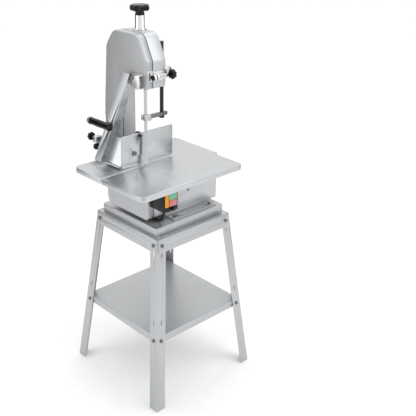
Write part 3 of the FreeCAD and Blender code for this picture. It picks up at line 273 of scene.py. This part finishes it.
def make_finishes(colours):
    """Every finish, by the record's slot."""
    return {
        # powder-coated folded sheet: silver grey, a little sparkle from the flake
        "stand_sheet": cast_metal("Powder_coated_silver_sheet", "#ADAFB1", colours.stand, 0.34, 0.9,
                                  0.004, 0.7),
        # zinc-plated fasteners and ground shafts
        "bolt_steel": brushed_metal("Zinc_plated_turned_steel", "#6A6B6C", "#858687", 0.32,
                                    (1, 1, 0.1)),
        # satin stoved enamel on the doors
        "satin_grey_paint": cast_metal("Satin_grey_metallic_enamel", "#ACAEB0", colours.door, 0.34,
                                       1.0, 0.003, 0.55),
        # pale anodised casing
        "light_shell": cast_metal("Bead_blasted_anodised_aluminium", "#B6B8BA", colours.shell, 0.33,
                                  0.8, 0.003, 0.6),
        "table_steel": brushed_metal("Brushed_stainless_sheet", "#BABCBE", colours.table, 0.3,
                                     (1, 0.02, 1), 1.2, 0.0012),
        "bright_block": cast_metal("Milled_and_tumbled_aluminium", "#D2D3D4", "#E4E5E5", 0.28, 0.8,
                                   0.003, 0.8),
        "chrome": brushed_metal("Polished_chrome_plate", "#D3D4D5", "#E0E1E2", 0.07, (1, 1, 0.2), 3.0,
                                0.0003),
        "black_plastic": moulded_plastic("Polished_black_phenolic", "#050506", colours.knob, 0.2,
                                         0.9, 0.002, 0.28),
        "black_oxide": sprayed_paint("Blackened_round_steel", "#08090A", "#0E0F11", 0.3, 1.0, 0.002),
        "blade_steel": brushed_metal("Hardened_spring_steel_band", "#B4B5B6", "#D0D1D2", 0.3,
                                     (1, 1, 0.02), 1.0, 0.001),
        "cast_wheel": cast_metal("Sand_cast_aluminium", "#A2A4A6", "#B4B6B7", 0.5, 1.8, 0.02),
        "motor_paint": sprayed_paint("Grey_motor_enamel", "#3F4347", "#4B5055", 0.45),
        "motor_core": cast_metal("Stacked_motor_laminations", "#5F6163", "#707274", 0.5, 1.8, 0.02),
        "capacitor_shell": moulded_plastic("Matte_white_polypropylene", "#C8C8C4", "#D6D6D2", 0.5),
        "rubber": moulded_plastic("Extruded_black_rubber", "#0B0B0C", "#141415", 0.62, 0.6, 0.01),
        "orange_plastic": moulded_plastic("Glossy_orange_ABS", "#E0901A", colours.frame, 0.3),
        "green_plastic": moulded_plastic("Glossy_green_ABS", "#66B592", "#7CC7A0", 0.28),
        "red_plastic": moulded_plastic("Glossy_red_ABS", "#CC7473", "#D98A8A", 0.28),
    }


# ---- settings -------------------------------------------------------------------------------

class SawSizes(bpy.types.PropertyGroup):
    fold: bpy.props.FloatProperty(name="Fold radius", description="Rounding of folded sheet, mm",
                                  default=1.3, min=0.2, max=4)
    sheet_edge: bpy.props.FloatProperty(name="Sheet edge", description="Rounding of cut sheet, mm",
                                        default=0.4, min=0.1, max=1)
    moulded_edge: bpy.props.FloatProperty(name="Moulded edge",
                                          description="Rounding of knobs and plastic cases, mm",
                                          default=1.4, min=0.2, max=4)
    machined_edge: bpy.props.FloatProperty(name="Machined edge",
                                           description="Rounding of turned and milled pieces, mm",
                                           default=0.6, min=0.1, max=2)


class SawColours(bpy.types.PropertyGroup):
    stand: bpy.props.StringProperty(name="Stand", description="Silver sheet, sRGB hex",
                                    default="#C2C4C6")
    door: bpy.props.StringProperty(name="Doors", description="Grey enamel, sRGB hex",
                                   default="#BCBEC0")
    shell: bpy.props.StringProperty(name="Casing", description="Pale casing, sRGB hex",
                                    default="#CACCCE")
    table: bpy.props.StringProperty(name="Table", description="Stainless table, sRGB hex",
                                    default="#CCCED0")
    knob: bpy.props.StringProperty(name="Knobs", description="Black knobs and grips, sRGB hex",
                                   default="#0B0B0C")
    frame: bpy.props.StringProperty(name="Switch frame", description="Switch surround, sRGB hex",
                                    default="#F2A62A")


class SawOperator:
    """What the operators share: the sizes, the colours and the finishes of this scene."""
    bl_options = {"REGISTER", "UNDO"}
    finishes = {}

    def get(self, slot):
        if not SawOperator.finishes:
            SawOperator.finishes.update(make_finishes(bpy.context.scene.saw_colours))
        return SawOperator.finishes[slot]

    def ease_all(self, width, *nodes, segments=2, angle=32):
        for node in nodes:
            eased(node, self.get(SLOTS[node]), width, segments, angle)

    def fit(self, obj, body, slot):
        """Finishes a small piece that has no node of its own and rides on a body."""
        obj.data.materials.append(self.get(slot))
        bpy.ops.object.shade_smooth_by_angle(angle=SMOOTH_ANGLE)
        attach(obj, body)

    def dark_discs(self, name, body, slot, *discs):
        """Screw heads and collars set on the metal: each disc is (point, axis, radius, height)."""
        made = []
        for point, axis, radius, height in discs:
            disc = turned(name, [(radius * 0.9, 0), (radius, 0.15), (radius, height - 0.3),
                                 (radius * 0.9, height)], 40)
            stand_at(disc, axis, point)
            made.append(disc)
        pick(*made)
        if len(made) > 1:
            bpy.ops.object.join()
        self.fit(made[0], body, slot)

    def star_knob(self, node, radius, axis, point, height, stem):
        """A moulded star knob whose hub starts at a point, with a steel stud behind it."""
        neck = radius * 0.5
        rings = [(neck * 0.6, 0), (neck, 0.2), (neck, 4), (radius * 0.72, 5.2), (radius * 0.95, 6.6),
                 (radius, 9), (radius, height - 5), (radius * 0.93, height - 2),
                 (radius * 0.78, height - 0.4), (radius * 0.5, height), (radius * 0.12, height)]
        knob = turned(node + "_finished", rings, 84)
        scallop(knob, 7, 0.15, 5.5, height - 0.1, radius * 0.6)
        if stem:
            stud = turned(node + "_stud", [(3.2, -stem), (4, -stem + 0.8), (4, 0.5), (3.6, 1.5)], 32)
            pick(knob, stud)
            bpy.ops.object.join()
        stand_at(knob, axis, point)
        return finish_piece(knob, node, self.get("black_plastic"))


class SAW_OT_inner(SawOperator, bpy.types.Operator):
    """Gives each plain frame node its own finish, the inner works included"""
    bl_idname = "saw.inner_works"
    bl_label = "Finish the inner works"

    def execute(self, context):
        for name, node in frame["nodes"].items():
            node.data.materials.clear()
            node.data.materials.append(self.get(SLOTS[name]))
        return {"FINISHED"}


class SAW_OT_stand(SawOperator, bpy.types.Operator):
    """Four splayed angle legs, rails, shelf and the tray under the saw"""
    bl_idname = "saw.stand"
    bl_label = "Make the stand"

    def execute(self, context):
        sizes = context.scene.saw_sizes
        self.ease_all(sizes.sheet_edge, "stand_legs", "stand_rails")
        self.ease_all(sizes.fold, "stand_tray", "stand_shelf")
        self.ease_all(0.5, "stand_bolts", "mounting_bolts")
        self.ease_all(0.8, "mounting_feet")
        return {"FINISHED"}


class SAW_OT_casing(SawOperator, bpy.types.Operator):
    """The C-shaped casing, the column's cover and the motor housing"""
    bl_idname = "saw.casing"
    bl_label = "Make the casing"

    def execute(self, context):
        sizes = context.scene.saw_sizes
        self.ease_all(sizes.fold, "motor_housing", "column_panel", segments=3)
        self.ease_all(1.0, "body_casing", segments=3)
        self.dark_discs("housing_screw_head", "frame", "motor_paint",
                        (at(111.9, 36, 831), (1, 0, 0), 3.9, 0.8))
        return {"FINISHED"}


class SAW_OT_doors(SawOperator, bpy.types.Operator):
    """Both doors and the hinges that they hang on"""
    bl_idname = "saw.doors"
    bl_label = "Make the doors"

    def execute(self, context):
        sizes = context.scene.saw_sizes
        self.ease_all(sizes.sheet_edge, "upper_door", "lower_door")
        self.ease_all(0.6, "door_hinges", "upper_door_hinge_leaves", "lower_door_hinge_leaves")
        return {"FINISHED"}


class SAW_OT_wheels(SawOperator, bpy.types.Operator):
    """The band wheels"""
    bl_idname = "saw.wheels"
    bl_label = "Make the wheels and blade"

    def execute(self, context):
        self.ease_all(1.2, "upper_wheel", "lower_wheel")
        return {"FINISHED"}


class SAW_OT_tension(SawOperator, bpy.types.Operator):
    """The blade tension's chromed sleeve and big hand knob"""
    bl_idname = "saw.tension"
    bl_label = "Make the tension knob"

    def execute(self, context):
        sizes = context.scene.saw_sizes
        knob = turned("tension_knob_finished", [
            (11, 0.4), (16.5, 0.4), (17.5, 1.4), (16, 8), (16, 13), (19, 14.5), (31.5, 15.5),
            (34.6, 18), (35.8, 22), (35.8, 28), (34.4, 33), (30, 36), (22, 37), (12, 36.6), (5, 36.4),
            (0.4, 36.4)], 120)
        scallop(knob, 7, 0.17, 14.8, 36.2, 25)
        stand_at(knob, (0, 0, 1), at(-5, -104, 1503))
        finish_piece(knob, "tension_knob", self.get("black_plastic"))
        self.ease_all(sizes.machined_edge, "tension_sleeve")
        return {"FINISHED"}


class SAW_OT_table(SawOperator, bpy.types.Operator):
    """The stainless table with folded edges and its bars"""
    bl_idname = "saw.table"
    bl_label = "Make the table"

    def execute(self, context):
        self.ease_all(1.1, "table", segments=3)
        self.ease_all(0.8, "table_frame")
        return {"FINISHED"}


class SAW_OT_guide(SawOperator, bpy.types.Operator):
    """The blade guide's post, arm, block and clamp"""
    bl_idname = "saw.guide"
    bl_label = "Make the blade guide"

    def execute(self, context):
        sizes = context.scene.saw_sizes
        self.ease_all(sizes.machined_edge, "guide_post", "guide_arm", "guide_block", "post_clamp")
        self.star_knob("post_clamp_knob", 15, (0, 1, 0), at(73, -50, 1310), 19, 12)
        return {"FINISHED"}


class SAW_OT_latch(SawOperator, bpy.types.Operator):
    """The upper door's latch"""
    bl_idname = "saw.latch"
    bl_label = "Make the latch"

    def execute(self, context):
        sizes = context.scene.saw_sizes
        self.ease_all(sizes.machined_edge, "door_latch_plate", "latch_bracket")
        self.star_knob("latch_knob", 18, (0, 1, 0), at(124, -76.5, 1308), 21, 73.5)
        self.dark_discs("latch_screw_heads", "upper_door", "motor_paint",
                        *((at(114.9, -162.5, height), (1, 0, 0), 3.4, 0.9) for height in (1323, 1300)))
        self.dark_discs("latch_collar", "upper_door", "rubber",
                        (at(124, -157, 1308), (0, 1, 0), 9.5, 3.1))
        return {"FINISHED"}


class SAW_OT_fence(SawOperator, bpy.types.Operator):
    """The portion fence, its rod, bracket and knobs"""
    bl_idname = "saw.fence"
    bl_label = "Make the fence"

    def execute(self, context):
        sizes = context.scene.saw_sizes
        self.ease_all(0.8, "fence_plate", "fence_bracket", "fence_rod")
        self.ease_all(sizes.moulded_edge, "fence_grip", segments=3)
        self.star_knob("fence_rod_knob", 17, (-1, 0, 0), at(-198.05, -190, 1021), 19, 0)
        self.star_knob("fence_clamp_knob", 16, (0, 0, -1), at(-171, -190, 1003), 25, 12)
        return {"FINISHED"}


class SAW_OT_pusher(SawOperator, bpy.types.Operator):
    """The pusher's folded arm, grip, bolts and bracket"""
    bl_idname = "saw.pusher"
    bl_label = "Make the pusher"

    def execute(self, context):
        sizes = context.scene.saw_sizes
        self.ease_all(sizes.sheet_edge, "pusher_arm")
        self.ease_all(sizes.machined_edge, "pusher_bolts")
        self.ease_all(1.5, "pusher_bracket", segments=3)
        self.dark_discs("bracket_screw_head", "upper_door", "motor_paint",
                        (at(71, -201.4, 1306), (0, -1, 0), 5.3, 1.2))
        grip = turned("pusher_grip_finished", [
            (7, 0), (11.4, 0.4), (13.6, 2), (14.4, 5), (13.9, 9), (13.2, 14), (13.3, 30), (14.1, 64),
            (13.3, 98), (13.2, 114), (13.9, 119), (14.4, 122), (14.2, 124.5), (13.2, 125.6),
            (6, 125.8)], 72)
        left_end = at(12.1, -262.1, 1123.6) - Vector((GRIP_LENGTH * MM, 0, 0))
        stand_at(grip, (1, 0, 0), left_end)
        finish_piece(grip, "pusher_grip", self.get("black_plastic"))
        ring = turned("grip_ring", [(13.4, 7.2), (14.7, 7.4), (14.9, 7.8), (14.9, 10), (14.7, 10.4),
                                    (13.4, 10.6)], 72)
        stand_at(ring, (1, 0, 0), left_end)
        self.fit(ring, "pusher", "chrome")
        return {"FINISHED"}


class SAW_OT_switch(SawOperator, bpy.types.Operator):
    """The switch box, its frame and buttons, and the glands"""
    bl_idname = "saw.switch"
    bl_label = "Make the switch"

    def execute(self, context):
        self.ease_all(2.5, "switch_box", segments=3)
        self.ease_all(1.2, "switch_frame", "green_button", "red_button", segments=3)
        self.ease_all(0.8, "cable_glands")
        return {"FINISHED"}


class SAW_OT_stage(SawOperator, bpy.types.Operator):
    """The pale floor, the dark flags that edge the metal, the soft lights and the camera"""
    bl_idname = "saw.stage"
    bl_label = "Set the stage"

    def panel(self, name, spot, normal, wide, high):
        """A dark grey studio flag that stands outside the picture and shows in the metal."""
        bpy.ops.object.select_all(action="DESELECT")
        bpy.ops.mesh.primitive_plane_add(size=1, location=spot)
        flag = bpy.context.object
        flag.name = name
        flag.scale = (wide, high, 1)
        flag.rotation_euler = Vector(normal).to_track_quat("Z", "Y").to_euler()
        flag.data.materials.append(sprayed_paint("Black_cloth_" + name, "#161616", "#1C1C1C", 0.9, 3,
                                                 0.002))
        return flag

    def execute(self, context):
        bpy.ops.object.select_all(action="DESELECT")
        bpy.ops.mesh.primitive_plane_add(size=60, location=(0, 0, -0.0005))
        floor = context.object
        floor.name = "floor"
        floor.data.materials.append(sprayed_paint("Matte_white_floor", "#F8F8F8", "#FBFBFB", 0.7, 3,
                                                  0.002))
        lamps = [("key", (2.4, 0.9, 2.6), 2.6, 26, (0, 0, 0.8)),
                 ("front_fill", (-1.2, -2.8, 1.6), 2.2, 14, (0, 0, 0.9)),
                 ("top", (-0.4, 0.3, 3.4), 3.0, 24, (0, 0, 0.9))]
        for name, spot, size, watts, aim in lamps:
            bpy.ops.object.light_add(type="AREA", location=spot)
            lamp = context.object
            lamp.name = name
            lamp.data.size = size
            lamp.data.energy = watts
            lamp.rotation_euler = (Vector(spot) - Vector(aim)).to_track_quat("Z", "Y").to_euler()
        world = bpy.data.worlds.new("Pale studio")
        world.use_nodes = True
        tree = world.node_tree
        shade = tree.nodes["Background"]
        shade.inputs["Color"].default_value = linear("#FFFFFF")
        shade.inputs["Strength"].default_value = 1.06
        context.scene.world = world
        back = Vector((0.6885, -0.6050, 0.4000))
        bpy.ops.object.camera_add(location=(1.9325, -1.669, 1.901))
        camera = context.object
        camera.rotation_euler = back.to_track_quat("Z", "Y").to_euler()
        camera.data.lens = 60.9
        camera.data.sensor_width = 36
        camera.data.shift_x = 0.1084
        camera.data.shift_y = -0.0221
        context.scene.camera = camera
        context.scene.view_settings.view_transform = "Standard"
        panels = [self.panel("left_flag", (-2.6, -1.2, 1.4), (-1, -0.35, 0), 2.2, 3.0),
                  self.panel("right_flag", (1.1, 3.0, 1.4), (0.3, 1, 0), 1.6, 3.0),
                  self.panel("near_flag", (3.6, -0.4, 0.9), (1, -0.1, 0), 0.7, 3.4),
                  self.panel("low_flag", (2.35, -2.05, 0.65), (0.75, -0.66, 0), 0.8, 1.3)]
        return {"FINISHED"}


PIECES = (SAW_OT_inner, SAW_OT_stand, SAW_OT_casing, SAW_OT_doors, SAW_OT_wheels, SAW_OT_tension,
          SAW_OT_table, SAW_OT_guide, SAW_OT_latch, SAW_OT_fence, SAW_OT_pusher, SAW_OT_switch,
          SAW_OT_stage)


class SAW_PT_panel(bpy.types.Panel):
    """Sizes, colours and a button for each piece"""
    bl_idname = "SAW_PT_panel"
    bl_label = "Bone saw"
    bl_space_type = "VIEW_3D"
    bl_region_type = "UI"
    bl_category = "Bone saw"

    def draw(self, context):
        for settings in (context.scene.saw_sizes, context.scene.saw_colours):
            for name in settings.__annotations__:
                self.layout.prop(settings, name)
        for piece in PIECES:
            self.layout.operator(piece.bl_idname)


CLASSES = (SawSizes, SawColours) + PIECES + (SAW_PT_panel,)


def register():
    for cls in CLASSES:
        bpy.utils.register_class(cls)
    bpy.types.Scene.saw_sizes = bpy.props.PointerProperty(type=SawSizes)
    bpy.types.Scene.saw_colours = bpy.props.PointerProperty(type=SawColours)


def unregister():
    del bpy.types.Scene.saw_colours
    del bpy.types.Scene.saw_sizes
    for cls in reversed(CLASSES):
        bpy.utils.unregister_class(cls)


def main():
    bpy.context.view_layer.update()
    register()
    for piece in PIECES:
        group, name = piece.bl_idname.split(".")
        getattr(getattr(bpy.ops, group), name)()
    bpy.context.view_layer.update()


if __name__ == "__main__":
    main()
